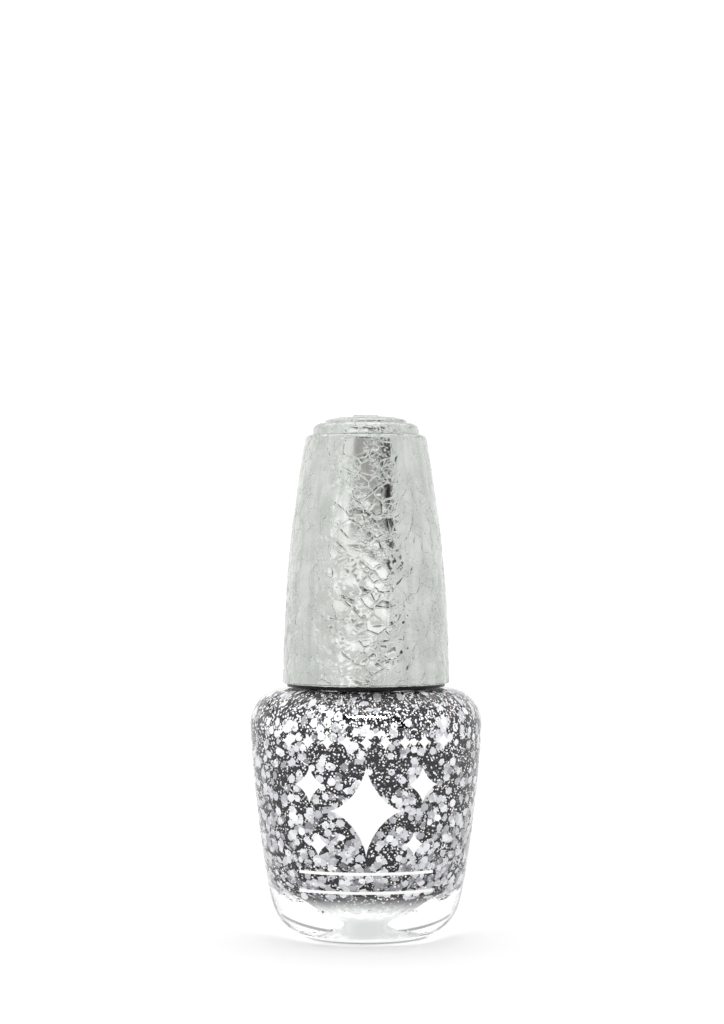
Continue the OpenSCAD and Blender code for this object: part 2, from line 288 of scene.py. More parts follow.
def outline_normals(outline):
    """Normals of an outline that runs round the outside anticlockwise, in its own plane."""
    ahead = np.gradient(outline, axis=0)
    normals = np.column_stack([ahead[:, 1], -ahead[:, 0]])
    return normals / np.linalg.norm(normals, axis=1)[:, None]


def lathe_points(outline, segments):
    """Points of the surface of revolution, as an array of rows by segments by 3."""
    angle = np.linspace(0, 2 * np.pi, segments, endpoint=False)
    x = outline[:, :1] * np.cos(angle)
    y = outline[:, :1] * np.sin(angle)
    z = np.repeat(outline[:, 1:], segments, axis=1)
    return np.stack([x, y, z], axis=2)


def lathe_faces(rows, segments, closed):
    """Quads between the rows of a surface of revolution. closed joins the last row to the first."""
    row = np.arange(rows if closed else rows - 1)[:, None]
    column = np.arange(segments)[None, :]
    above = (row + 1) % rows
    ahead = (column + 1) % segments
    corners = [row * segments + column, row * segments + ahead,
               above * segments + ahead, above * segments + column]
    return np.stack(corners, axis=2).reshape(-1, 4)


def lathe(name, outline, segments, materials, row_material=None, move=None):
    """Closed surface of revolution. An outline whose ends lie on the axis gets a tiny ring there, which is
    then closed to one point. move changes the points, given as rows by segments by 3."""
    on_axis = outline[0, 0] < 1e-6 and outline[-1, 0] < 1e-6
    points = lathe_points(outline, segments)
    if move is not None:
        points = move(points)
    rows = len(outline)
    faces = lathe_faces(rows, segments, closed=not on_axis)
    face_material = None
    if row_material is not None:
        face_rows = rows - 1 if on_axis else rows
        face_material = np.repeat(np.asarray(row_material)[:face_rows], segments)
    piece = mesh_piece(name, points.reshape(-1, 3), faces, materials, face_material)
    if on_axis:
        close_poles(piece)
    return piece


def close_poles(piece):
    """Merges the rings of points that lie on the axis."""
    shape = bmesh.new()
    shape.from_mesh(piece.data)
    poles = [v for v in shape.verts if math.hypot(v.co.x, v.co.y) < 1e-7]
    bmesh.ops.remove_doubles(shape, verts=poles, dist=1e-6)
    shape.to_mesh(piece.data)
    shape.free()


# ---------------------------------------------------------------- materials
def add_node(tree, kind, inputs=None, **settings):
    """A node with its settings and inputs. An input is a value, or the output that feeds it."""
    made = tree.nodes.new(kind)
    for key, value in settings.items():
        setattr(made, key, value)
    for key, value in (inputs or {}).items():
        if isinstance(value, bpy.types.NodeSocket):
            tree.links.new(value, made.inputs[key])
        else:
            made.inputs[key].default_value = value
    return made


def new_material(name):
    """A material with an empty tree, and its output node."""
    material = bpy.data.materials.new(name)
    material.use_nodes = True
    material.node_tree.nodes.clear()
    return material, material.node_tree, material.node_tree.nodes.new("ShaderNodeOutputMaterial")


def principled(name, colour, metallic=0.0, roughness=0.4, **values):
    """A material of one Principled shader. Returns the material, its tree and the shader."""
    material, tree, output = new_material(name)
    inputs = {"Base Color": (*colour, 1), "Metallic": metallic, "Roughness": roughness}
    inputs.update(values)
    shader = add_node(tree, "ShaderNodeBsdfPrincipled", inputs)
    tree.links.new(shader.outputs[0], output.inputs["Surface"])
    return material, tree, shader


def place(tree):
    """The place on the object, in metres, that every pattern is laid out by."""
    return add_node(tree, "ShaderNodeTexCoord").outputs["Object"]


def noise_at(tree, scale, detail=2.0, roughness=0.5):
    """Noise with this many lumps to the metre."""
    made = add_node(tree, "ShaderNodeTexNoise",
                    {"Vector": place(tree), "Scale": scale, "Detail": detail, "Roughness": roughness})
    return made.outputs["Fac"]


def remap(tree, value, low, high, new_low, new_high, smooth=False):
    """The value moved from one range to another, and kept inside it."""
    kind = "SMOOTHSTEP" if smooth else "LINEAR"
    inputs = {"Value": value, "From Min": low, "From Max": high, "To Min": new_low, "To Max": new_high}
    return add_node(tree, "ShaderNodeMapRange", inputs, interpolation_type=kind).outputs["Result"]


def colour_mix(tree, factor, first, second):
    """A colour between two. Each is a colour, or the output that gives one."""
    made = tree.nodes.new("ShaderNodeMix")
    made.data_type = "RGBA"
    colours = [socket for socket in made.inputs if socket.type == "RGBA"]
    for socket, colour in zip(colours, (first, second)):
        if isinstance(colour, bpy.types.NodeSocket):
            tree.links.new(colour, socket)
        else:
            socket.default_value = (*colour, 1)
    tree.links.new(factor, made.inputs["Factor"])
    return next(socket for socket in made.outputs if socket.type == "RGBA")


def times(tree, first, second):
    """The product of two values."""
    return add_node(tree, "ShaderNodeMath", {0: first, 1: second}, operation="MULTIPLY").outputs[0]


def stretched_noise(tree, scale, detail):
    """Noise with its own number of lumps to the metre along each axis."""
    stretched = add_node(tree, "ShaderNodeMapping", {"Vector": place(tree), "Scale": scale})
    made = add_node(tree, "ShaderNodeTexNoise",
                    {"Vector": stretched.outputs[0], "Scale": 1.0, "Detail": detail})
    return made.outputs["Fac"]


def bump(tree, shader, height, distance, strength=1.0, under=None):
    """Relief on the shader. under is an earlier bump that this one lies on."""
    inputs = {"Height": height, "Distance": distance, "Strength": strength}
    if under is not None:
        inputs["Normal"] = under
    made = add_node(tree, "ShaderNodeBump", inputs).outputs["Normal"]
    tree.links.new(made, shader.inputs["Normal"])
    return made


def see_through(tree, output, glass, tint):
    """Puts the glass on the surface, and lets shadow rays straight through it with a tint."""
    clear = add_node(tree, "ShaderNodeBsdfTransparent", {"Color": (*tint, 1)})
    path = add_node(tree, "ShaderNodeLightPath")
    both = add_node(tree, "ShaderNodeMixShader", {0: path.outputs["Is Shadow Ray"], 1: glass.outputs[0],
                                                  2: clear.outputs[0]})
    tree.links.new(both.outputs[0], output.inputs["Surface"])


def clear_glass():
    """Flint glass that lets lamps through."""
    material, tree, output = new_material("clear_glass")
    glass = add_node(tree, "ShaderNodeBsdfPrincipled",
                     {"Base Color": (0.985, 0.993, 0.988, 1), "Roughness": 0.02, "IOR": 1.5,
                      "Transmission Weight": 1.0, "Specular IOR Level": 0.12})
    see_through(tree, output, glass, (0.97, 0.975, 0.97))
    return material


def stippled_glass():
    """The foot's underside, moulded with a fine stipple that scatters light. Its colour has a painted contact
    shadow, dark where it touches the table."""
    material, tree, output = new_material("stippled_glass")
    height = add_node(tree, "ShaderNodeSeparateXYZ", {0: place(tree)}).outputs["Z"]
    # Painted contact shadow: the underside is dark grey within a fraction of a millimetre of the table, white
    # above.
    clear_of_painted_shadow = remap(tree, height, 0.0001, 0.0003, 0.0, 1.0, smooth=True)
    tone = colour_mix(tree, clear_of_painted_shadow, (0.16, 0.165, 0.165), (1, 1, 1))
    glass = add_node(tree, "ShaderNodeBsdfPrincipled",
                     {"Base Color": tone, "Roughness": 0.55, "IOR": 1.5, "Transmission Weight": 0.25})
    see_through(tree, output, glass, (0.95, 0.95, 0.95))
    return material


def wetted_glass():
    """The inside of the glass where the polish wets it, which bends light no further."""
    material, tree, output = new_material("wetted_glass")
    clear = add_node(tree, "ShaderNodeBsdfTransparent", {"Color": (1, 1, 1, 1)})
    tree.links.new(clear.outputs[0], output.inputs["Surface"])
    return material


def speckled_dark(tree):
    """The colour of the depth of the polish: dark, with specks of glitter."""
    specks = add_node(tree, "ShaderNodeTexVoronoi", {"Vector": place(tree), "Scale": 2600.0})
    lit = remap(tree, specks.outputs["Distance"], 0.3, 0.36, 1.0, 0.0)
    tone = add_node(tree, "ShaderNodeSeparateColor", {"Color": specks.outputs["Color"]}).outputs[0]
    chosen = remap(tree, tone, 0.7, 0.85, 0.0, 0.7)
    return colour_mix(tree, times(tree, lit, chosen), (0.005, 0.004, 0.007), (0.7, 0.7, 0.72))


def polish_depths():
    """The depth of the polish."""
    material, tree, shader = principled("polish_depths", (0.01, 0.01, 0.012), roughness=0.6)
    shader.inputs["Specular IOR Level"].default_value = 0.1
    tree.links.new(speckled_dark(tree), shader.inputs["Base Color"])
    return material


def settled_glitter():
    """Pale glitter that lies on the floor of the bottle, thin in the middle and thinning out to the side."""
    material, tree, shader = principled("settled_glitter", (0.8, 0.8, 0.8), roughness=0.5)
    flat = add_node(tree, "ShaderNodeVectorMath", {0: place(tree), 1: (1, 1, 0)}, operation="MULTIPLY")
    radius = add_node(tree, "ShaderNodeVectorMath", {0: flat.outputs[0]}, operation="LENGTH").outputs["Value"]
    pale = colour_mix(tree, remap(tree, noise_at(tree, 1500.0, 3.0), 0.4, 0.6, 0.0, 1.0),
                      (0.75, 0.75, 0.75), (0.98, 0.98, 0.98))
    out = remap(tree, radius, 0.0006, 0.0034, 0.0, 1.0, smooth=True)
    thin = colour_mix(tree, out, (0.6, 0.6, 0.605), pale)
    side = remap(tree, radius, 0.0034, 0.0066, 0.0, 1.0, smooth=True)
    tree.links.new(colour_mix(tree, side, thin, speckled_dark(tree)), shader.inputs["Base Color"])
    return material


def glitter(name, shade, metallic, roughness):
    """Silvered film in one shade, partly painted light and shade for how brightly it catches the light. Film
    with a lacquered face is less metallic.
    """
    return principled(name, shade, metallic, roughness)[0]


def crease_lines(tree, scale, warp, width):
    """1 on crooked lines that part irregular cells, and 0 inside them. warp is how far the cells are pulled
    out of shape, in metres, and width is the share of a cell that a line takes."""
    pull = add_node(tree, "ShaderNodeTexNoise", {"Vector": place(tree), "Scale": scale * 1.3, "Detail": 2.0})
    pull = add_node(tree, "ShaderNodeVectorMath", {0: pull.outputs["Color"], 1: (warp, warp, warp)},
                    operation="MULTIPLY")
    moved = add_node(tree, "ShaderNodeVectorMath", {0: place(tree), 1: pull.outputs[0]}, operation="ADD")
    cells = add_node(tree, "ShaderNodeTexVoronoi", {"Vector": moved.outputs[0], "Scale": scale},
                     feature="DISTANCE_TO_EDGE")
    return remap(tree, cells.outputs["Distance"], 0.0, width, 1.0, 0.0, smooth=True)


def crackled_foil():
    """Silver foil with creases finer than the mesh."""
    material, tree, shader = principled("crackled_foil", (0.52, 0.54, 0.515), metallic=1.0, roughness=0.16)
    fine_zones = remap(tree, noise_at(tree, 420.0, 2.0), 0.46, 0.6, 0.0, 1.0, smooth=True)
    fine_lines = times(tree, crease_lines(tree, 1500.0, 0.0005, 0.14), fine_zones)
    fine = bump(tree, shader, fine_lines, 0.00003)
    long_zones = remap(tree, noise_at(tree, 200.0, 2.0), 0.38, 0.5, 0.0, 1.0, smooth=True)
    long_lines = times(tree, crease_lines(tree, 480.0, 0.0006, 0.07), long_zones)
    creased = bump(tree, shader, long_lines, 0.00005, under=fine)
    bump(tree, shader, noise_at(tree, 5200.0, 3.0, 0.6), 0.00002, 0.5, under=creased)
    rough = remap(tree, noise_at(tree, 420.0, 3.0), 0.35, 0.7, 0.1, 0.22)
    tree.links.new(rough, shader.inputs["Roughness"])
    mottled = times(tree, stretched_noise(tree, (900, 900, 70), 3.0), noise_at(tree, 350.0, 3.0))
    tone = colour_mix(tree, remap(tree, mottled, 0.16, 0.34, 0.0, 1.0),
                      (0.46, 0.482, 0.455), (0.56, 0.58, 0.555))
    tree.links.new(tone, shader.inputs["Base Color"])
    return material


def black_plastic():
    """Moulded black plastic with a faint grain."""
    material, tree, shader = principled("black_plastic", (0.004, 0.004, 0.0045), roughness=0.35)
    shader.inputs["Specular IOR Level"].default_value = 0.15
    bump(tree, shader, noise_at(tree, 2600.0, 4.0), 0.00002, 0.4)
    tree.links.new(remap(tree, noise_at(tree, 700.0), 0.3, 0.7, 0.26, 0.4), shader.inputs["Roughness"])
    return material


def white_ink():
    """Screen print: dense white ink with the fine grain of the mesh it was pressed through."""
    material, tree, shader = principled("white_ink", (0.93, 0.93, 0.925), roughness=0.42)
    bump(tree, shader, noise_at(tree, 5200.0, 2.0), 0.000008, 0.5)
    tone = colour_mix(tree, remap(tree, noise_at(tree, 900.0, 3.0), 0.3, 0.7, 0.0, 1.0),
                      (0.95, 0.95, 0.945), (0.99, 0.99, 0.985))
    tree.links.new(tone, shader.inputs["Base Color"])
    return material


def liner_foam():
    """Closed-cell foam."""
    material, tree, shader = principled("liner_foam", (0.82, 0.82, 0.8), roughness=0.85)
    cells = add_node(tree, "ShaderNodeTexVoronoi", {"Vector": place(tree), "Scale": 3600.0})
    bump(tree, shader, cells.outputs["Distance"], 0.00004, 0.6)
    tone = colour_mix(tree, cells.outputs["Distance"], (0.86, 0.86, 0.83), (0.74, 0.74, 0.71))
    tree.links.new(tone, shader.inputs["Base Color"])
    return material


def stem_plastic():
    """Glossy black polyethylene, with fine lengthwise drag marks."""
    material, tree, shader = principled("stem_plastic", (0.016, 0.016, 0.018), roughness=0.22)
    bump(tree, shader, stretched_noise(tree, (2600, 2600, 60), 2.0), 0.00002, 0.35)
    tree.links.new(remap(tree, noise_at(tree, 500.0), 0.3, 0.7, 0.16, 0.3), shader.inputs["Roughness"])
    return material


def bristle_nylon():
    """Dark nylon filaments, a little different from one to the next."""
    material, tree, shader = principled("bristle_nylon", (0.035, 0.033, 0.033), roughness=0.3)
    tone = colour_mix(tree, noise_at(tree, 1500.0, 2.0), (0.015, 0.014, 0.014), (0.09, 0.085, 0.085))
    tree.links.new(tone, shader.inputs["Base Color"])
    return material


def ball_steel():
    """Polished steel with fine scratches."""
    material, tree, shader = principled("ball_steel", (0.62, 0.63, 0.65), metallic=1.0, roughness=0.12)
    rough = remap(tree, noise_at(tree, 2500.0, 5.0), 0.35, 0.65, 0.08, 0.2)
    tree.links.new(rough, shader.inputs["Roughness"])
    bump(tree, shader, noise_at(tree, 6000.0, 3.0), 0.000006, 0.3)
    return material


def anchor_wire():
    """Drawn wire, brushed along its length."""
    material, tree, shader = principled("anchor_wire", (0.6, 0.58, 0.52), metallic=1.0, roughness=0.3)
    bump(tree, shader, stretched_noise(tree, (300, 9000, 9000), 3.0), 0.00001, 0.5)
    return material


# ---------------------------------------------------------------- glass
def with_thread(points):
    """Raises the neck's thread out of its wall, as a helix that rises to the right."""
    x, y, z = points[..., 0], points[..., 1], points[..., 2]
    radius = np.hypot(x, y)
    turn = np.mod(np.arctan2(y, x) / (2 * np.pi), 1)
    along = (z - THREAD_Z) / THREAD_PITCH
    turns_up = turn + np.round(along - turn)
    fade = np.minimum(turns_up, THREAD_TURNS - turns_up) / THREAD_FADE
    off = np.abs(along - turns_up) * THREAD_PITCH
    rise = (THREAD_BASE_W / 2 - off) / (THREAD_BASE_W / 2 - THREAD_TIP_W / 2)
    height = np.clip(rise, 0, 1) * np.clip(fade, 0, 1)
    height = height * height * (3 - 2 * height)
    on_neck = (np.abs(radius - NECK_R) < TOUCHING) & (z > SHOULDER_Z + NECK_FILLET_R)
    grown = 1 + np.where(on_neck, height * (THREAD_R - NECK_R) / radius.clip(1), 0)
    return np.stack([x * grown, y * grown, z], axis=2)


def make_glass():
    """The bottle. Its wetted part is where the polish touches the inside."""
    outside = glass_outside()
    neck = neck_outline()
    inside = cavity()[::-1]
    outline = joined(outside, neck, inside)
    rows = len(outline)
    first_inside = rows - len(inside)
    wetted = (np.arange(rows) >= first_inside) & (outline[:, 1] <= FILL_Z + FILL_ROOM)
    under = (np.arange(rows) < len(outside)) & (outline[:, 1] < STIPPLE_Z)
    look = wetted + 2 * under
    materials = [clear_glass(), wetted_glass(), stippled_glass()]
    glass = lathe("bottle_glass", outline, GLASS_SEGMENTS, materials, look, with_thread)
    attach(glass, "bottle")
    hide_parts("glass_bottle")
    return glass


# ---------------------------------------------------------------- polish
CORE_SEGMENTS = 128
CORE_DEPTH = 1.0
CORE_TOP_ROOM = 0.05
# No glitter is put under the neck, so the dark depth shows there: painted shade where the cap shades the
# polish.
BARE_R = 8.0
BARE_Z = SHOULDER_Z - WALL_T - 0.1
SETTLED_R = 3.2
SETTLED_EDGE_R = 6.8
SETTLED_Z = 8
SETTLED_DEPTH = 0.12
ASKEW = 0.3
FLAKE_SEED = 11
FLAKE_COUNT = 1900
FLAKE_D = 1.12
FLAKE_D_SHARES = (0.82, 1.12)
FLAKE_T = 0.03
FLAKE_TILT = math.radians(16)
FLAKE_TILT_MOST = math.radians(42)
FLAKE_NEAREST = 0.08
FLAKE_LAYER_T = 0.78
FLAKE_LAYER_LEAST = 0.05
FLAKES_LEAST = 0.5
FLAKES_MORE = 0.75
FLAKES_THICKEST_Z = 12
FLAKES_SPREAD_Z = 7
FLAKES_THIN_Z = 30.5
FLAKES_THIN_SHARE = 0.45
DUST_D = 0.26
DUST_D_SHARES = (0.65, 1.15)
DUST_BACK_SHARE = 0.25
DUST_TILT = math.radians(28)
DUST_TILT_MOST = math.radians(70)
DUST_LEAST = 0.85
DUST_MORE = 0.35
DUST_THICKEST_Z = 31
DUST_SPREAD_Z = 4
BALL_TRACK_R = 5.2
BALL_ROOM = 0.06
# Shades of glitter: name, colour, metallic, roughness, and the share of the pieces that have it. The spread
# of shades is partly the film's own tint and partly painted light and shade, for how brightly each piece
# catches the light.
FLAKE_SHADES = [
    ("flake_bright", (0.82, 0.82, 0.84), 0.05, 0.4, 0.4),
    ("flake_pale", (0.67, 0.66, 0.7), 0.2, 0.35, 0.32),
    ("flake_grey", (0.47, 0.48, 0.51), 0.5, 0.3, 0.17),
    ("flake_dark", (0.29, 0.28, 0.31), 0.9, 0.25, 0.11),
]
DUST_SHADES = [
    ("_white", (0.92, 0.92, 0.92), 0.0, 0.4, 0.56),
    ("_silver", (0.7, 0.69, 0.73), 0.4, 0.3, 0.18),
    ("_rose", (0.92, 0.76, 0.76), 0.1, 0.3, 0.06),
    ("_shade", (0.1, 0.09, 0.12), 0.5, 0.3, 0.2),
]


def make_core():
    """The depth of the polish, behind the glitter that floats near the glass."""
    wall = wetted_wall()
    on_floor = (1 - eased(wall[:, 0], SETTLED_R, SETTLED_EDGE_R)) * (wall[:, 1] < SETTLED_Z)
    depth = CORE_DEPTH + (SETTLED_DEPTH - CORE_DEPTH) * on_floor
    outline = wall - outline_normals(wall) * depth[:, None]
    outline[0, 0] = 0
    outline = outline[outline[:, 1] < FILL_Z]
    surface_z = FILL_Z - CORE_TOP_ROOM
    outline = joined(outline, line((outline[-1, 0], surface_z), (0, surface_z), 1))
    settled = (outline[:, 0] < SETTLED_EDGE_R) & (outline[:, 1] < SETTLED_Z)
    looks = [polish_depths(), settled_glitter()]
    core = lathe("polish_core", outline, CORE_SEGMENTS, looks, settled.astype(int))
    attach(core, "bottle")
    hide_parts("nail_polish")


def wall_sites(rng, count, share):
    """Random places on the inside of the glass: radius and height, outward normal, and angle. share gives how
    thick the glitter is at a height."""
    outline = wetted_wall()
    middle = (outline[1:] + outline[:-1]) / 2
    length = np.linalg.norm(np.diff(outline, axis=0), axis=1)
    # Glitter is left out under the neck as painted shade, so the dark depth shows there.
    under_neck = (middle[:, 0] < BARE_R) & (middle[:, 1] > BARE_Z)
    on_floor = (middle[:, 0] < SETTLED_R) & (middle[:, 1] < SETTLED_Z)
    weight = length * middle[:, 0] * share(middle[:, 1]) * ~(under_neck | on_floor)
    piece = rng.choice(len(middle), size=count, p=weight / weight.sum())
    t = rng.random((count, 1))
    at = outline[piece] * (1 - t) + outline[piece + 1] * t
    normal = outline_normals(outline)[piece]
    return at, normal, rng.random(count) * 2 * np.pi


def scattered_frames(rng, at, normal, angle, depth, tilt):
    """Centres and three axes of flakes that lie depth inside the wall, turned off it by tilt."""
    cos, sin = np.cos(angle), np.sin(angle)
    spot = at - normal * depth[:, None]
    centre = np.column_stack([spot[:, 0] * cos, spot[:, 0] * sin, spot[:, 1]])
    out = np.column_stack([normal[:, 0] * cos, normal[:, 0] * sin, normal[:, 1]])
    ring = np.column_stack([-sin, cos, np.zeros_like(cos)])
    up = np.cross(out, ring)
    way = rng.random(len(angle)) * 2 * np.pi
    lean = (ring * np.cos(way)[:, None] + up * np.sin(way)[:, None]) * np.sin(tilt)[:, None]
    face = out * np.cos(tilt)[:, None] + lean
    face /= np.linalg.norm(face, axis=1)[:, None]
    first = np.cross(face, ring + ASKEW * up)
    first /= np.linalg.norm(first, axis=1)[:, None]
    second = np.cross(face, first)
    spin = (rng.random(len(angle)) * 2 * np.pi)[:, None]
    turned = first * np.cos(spin) + second * np.sin(spin)
    across = second * np.cos(spin) - first * np.sin(spin)
    return centre, turned, across, face


def clear_of_balls(centre, face, reach):
    """Which flakes the mixing balls miss as they roll round the bottle."""
    near_ball = BALL_R + BALL_ROOM
    radius = np.hypot(centre[:, 0], centre[:, 1])
    track = centre * (BALL_TRACK_R / radius)[:, None]
    track[:, 2] = BALL_Z
    away = centre - track
    off_plane = np.abs((away * face).sum(axis=1))
    in_plane = np.sqrt(((away ** 2).sum(axis=1) - off_plane ** 2).clip(0))
    cut_r = np.sqrt((near_ball ** 2 - off_plane ** 2).clip(0))
    return (off_plane > near_ball) | (in_plane > cut_r + reach)


def missed_by_balls(centre, first, second, face, size):
    """The flakes that the mixing balls miss."""
    keep = clear_of_balls(centre, face, size / 2)
    return centre[keep], first[keep], second[keep], face[keep], size[keep]


def hexagons(first, second, size):
    """Corners of hexagons of the given sizes about the origin, each in the plane of its two axes."""
    angle = np.arange(6) * np.pi / 3
    ring = first[:, None] * np.cos(angle)[None, :, None] + second[:, None] * np.sin(angle)[None, :, None]
    return ring * 0.5 * size[:, None, None]


def flake_share(z):
    """How thick the large flakes are at a height: most of all low down, and few in the shoulder."""
    share = FLAKES_LEAST + FLAKES_MORE * np.exp(-((z - FLAKES_THICKEST_Z) / FLAKES_SPREAD_Z) ** 2)
    return share * np.where(z > FLAKES_THIN_Z, FLAKES_THIN_SHARE, 1)


def dust_share(z):
    """How thick the fine glitter is at a height: a little more in the shoulder."""
    return DUST_LEAST + DUST_MORE * np.exp(-((z - DUST_THICKEST_Z) / DUST_SPREAD_Z) ** 2)


def pick_shades(rng, rows, count):
    """The materials of a table of shades, and the one that each of count pieces has."""
    shades = [glitter(name, colour, metallic, roughness) for name, colour, metallic, roughness, _ in rows]
    return shades, rng.choice(len(shades), size=count, p=[row[-1] for row in rows])


def make_flakes():
    """Large hexagonal flakes, thin prisms that lie mostly along the glass."""
    rng = np.random.default_rng(FLAKE_SEED)
    at, normal, angle = wall_sites(rng, FLAKE_COUNT, flake_share)
    tilt = np.abs(rng.normal(0, FLAKE_TILT, FLAKE_COUNT)).clip(0, FLAKE_TILT_MOST)
    size = FLAKE_D * rng.uniform(*FLAKE_D_SHARES, FLAKE_COUNT)
    reach = 0.5 * size * np.sin(tilt)
    depth = FLAKE_NEAREST + reach + rng.random(FLAKE_COUNT) * (FLAKE_LAYER_T - reach).clip(FLAKE_LAYER_LEAST)
    centre, first, second, face = scattered_frames(rng, at, normal, angle, depth, tilt)
    centre, first, second, face, size = missed_by_balls(centre, first, second, face, size)
    count = len(size)
    ring = hexagons(first, second, size)
    top = centre[:, None] + ring + face[:, None] * FLAKE_T / 2
    low = centre[:, None] + ring - face[:, None] * FLAKE_T / 2
    verts = np.concatenate([top, low], axis=1).reshape(-1, 3)
    quads = [[0, 1, 2, 3], [0, 3, 4, 5], [9, 8, 7, 6], [11, 10, 9, 6]]
    quads += [[i, 6 + i, 6 + (i + 1) % 6, (i + 1) % 6] for i in range(6)]
    faces = (np.arange(count)[:, None, None] * 12 + np.array(quads)[None]).reshape(-1, 4)
    shades, pick = pick_shades(rng, FLAKE_SHADES, count)
    flakes = mesh_piece("glitter_flakes", verts, faces, shades, np.repeat(pick, len(quads)), smooth=False)
    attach(flakes, "bottle")


def make_dust(name, seed, count, nearest, farthest):
    """Fine glitter: small hexagons, each backed by a shallow point."""
    rng = np.random.default_rng(seed)
    at, normal, angle = wall_sites(rng, count, dust_share)
    tilt = np.abs(rng.normal(0, DUST_TILT, count)).clip(0, DUST_TILT_MOST)
    depth = rng.uniform(nearest, farthest, count)
    size = DUST_D * rng.uniform(*DUST_D_SHARES, count)
    centre, first, second, face = scattered_frames(rng, at, normal, angle, depth, tilt)
    centre, first, second, face, size = missed_by_balls(centre, first, second, face, size)
    count = len(size)
    top = centre[:, None] + hexagons(first, second, size)
    back = (centre - face * size[:, None] * DUST_BACK_SHARE)[:, None]
    verts = np.concatenate([top, back], axis=1).reshape(-1, 3)
    tris = [[0, 1, 2], [0, 2, 3], [0, 3, 4], [0, 4, 5]]
    tris += [[(i + 1) % 6, i, 6] for i in range(6)]
    faces = (np.arange(count)[:, None, None] * 7 + np.array(tris)[None]).reshape(-1, 3)
    shades, pick = pick_shades(rng, [(name + row[0], *row[1:]) for row in DUST_SHADES], count)
    dust = mesh_piece(name, verts, faces, shades, np.repeat(pick, len(tris)), smooth=False)
    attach(dust, "bottle")


# ---------------------------------------------------------------- cap
FOIL_STEP = 0.168
FOIL_SEGMENTS = 424
FOIL_SEED = 5
SEED_SCATTER = 0.25
SEEDS_NEARBY = 5
CELL_SPACING = 2.5
CELL_CURVE = 0.03
CELL_DROP = 0.1
CRUMPLE_SPACING = 0.7
CRUMPLE_CURVE = 0.22
CRUMPLE_DROP = 0.05
SEAM_DROP = 0.07
GROOVE_DROP = 0.03
GROOVE_DEPTH = 0.026
SWELL = 0.02
SWELL_SIZE = 6.0
PATCH_SIZE = 4.5
FINE_PATCH_SIZE = 1.7
FINE_PATCH_SHARE = 0.6
# The values that end in DOMED are what the domed patches low on the cap add.
CRUMPLE_SEAM = 0.35
CRUMPLE_DOMED = 0.2
CRUMPLE_FROM = 0.25
CRUMPLE_FULL = 0.6
CELL_SHARE = 0.15
CELL_DOMED = 0.5
FOLD_LEAST = 0.04
FOLD_SHARE = 0.8
FOLD_DOMED = 0.4
DOMED_Z = 46
FLAT_Z = 57
EDGE_FADE = 0.3
CENTRE_FADE = 0.5


def scattered_on_cap(rng, spacing):
    """Random seeds on the cap's outside, one for each spacing by spacing patch of it."""
    outline = cap_outside(0.5)
    middle = (outline[1:] + outline[:-1]) / 2
    area = 2 * np.pi * middle[:, 0] * np.linalg.norm(np.diff(outline, axis=0), axis=1)
    count = int(area.sum() / spacing ** 2)
    piece = rng.choice(len(middle), size=count, p=area / area.sum())
    angle = rng.random(count) * 2 * np.pi
    radius = middle[piece, 0]
    z = middle[piece, 1] + rng.uniform(-SEED_SCATTER, SEED_SCATTER, count)
    return np.column_stack([radius * np.cos(angle), radius * np.sin(angle), z])


def bowls(points, seeds, curve, offsets):
    """A surface made of shallow bowls, one round each seed. Gives its height, and how far the next bowl lies
    above it, which is nothing at a crease."""
    tree = kdtree.KDTree(len(seeds))
    for i, seed in enumerate(seeds):
        tree.insert(seed, i)
    tree.balance()
    height = np.empty(len(points))
    above = np.empty(len(points))
    for i, point in enumerate(points):
        levels = sorted(curve * d * d + offsets[k] for _, k, d in tree.find_n(point, SEEDS_NEARBY))
        height[i] = levels[0]
        above[i] = levels[1] - levels[0]
    return height, above


def noise_field(points, size, seed):
    """Smooth noise from -1 to 1 whose lumps are about size across."""
    shift = Vector((seed * 7.3, seed * 3.1, seed * 5.7))
    return np.array([noise.noise(Vector(p) / size + shift) for p in points])


def eased(value, low, high):
    """0 below low, 1 above high, and smooth between them."""
    t = np.clip((value - low) / (high - low), 0, 1)
    return t * t * (3 - 2 * t)


def foil_relief(points):
    """How far the foil stands off the smooth cap: flat crackle cells above, domed patches below, and
    crumpled seams between them."""
    rng = np.random.default_rng(FOIL_SEED)
    domed = 1 - eased(points[:, 2], DOMED_Z, FLAT_Z)
    cells = scattered_on_cap(rng, CELL_SPACING)
    cell_h, above = bowls(points, cells, CELL_CURVE, rng.uniform(0, CELL_DROP, len(cells)))
    folds = scattered_on_cap(rng, CRUMPLE_SPACING)
    fold_h, _ = bowls(points, folds, CRUMPLE_CURVE, rng.uniform(0, CRUMPLE_DROP, len(folds)))
    patchy = noise_field(points, PATCH_SIZE, 1) + FINE_PATCH_SHARE * noise_field(points, FINE_PATCH_SIZE, 2)
    seam = 1 - eased(above, 0, SEAM_DROP)
    groove = 1 - eased(above, 0, GROOVE_DROP)
    crumple = eased(patchy + CRUMPLE_SEAM * seam + CRUMPLE_DOMED * domed, CRUMPLE_FROM, CRUMPLE_FULL)
    cell_share = CELL_SHARE + CELL_DOMED * domed
    fold_share = FOLD_LEAST + (FOLD_SHARE + FOLD_DOMED * domed) * crumple
    swell = SWELL * noise_field(points, SWELL_SIZE, 3)
    relief = -cell_h * cell_share - fold_h * fold_share - GROOVE_DEPTH * groove + swell
    return relief - relief.mean()


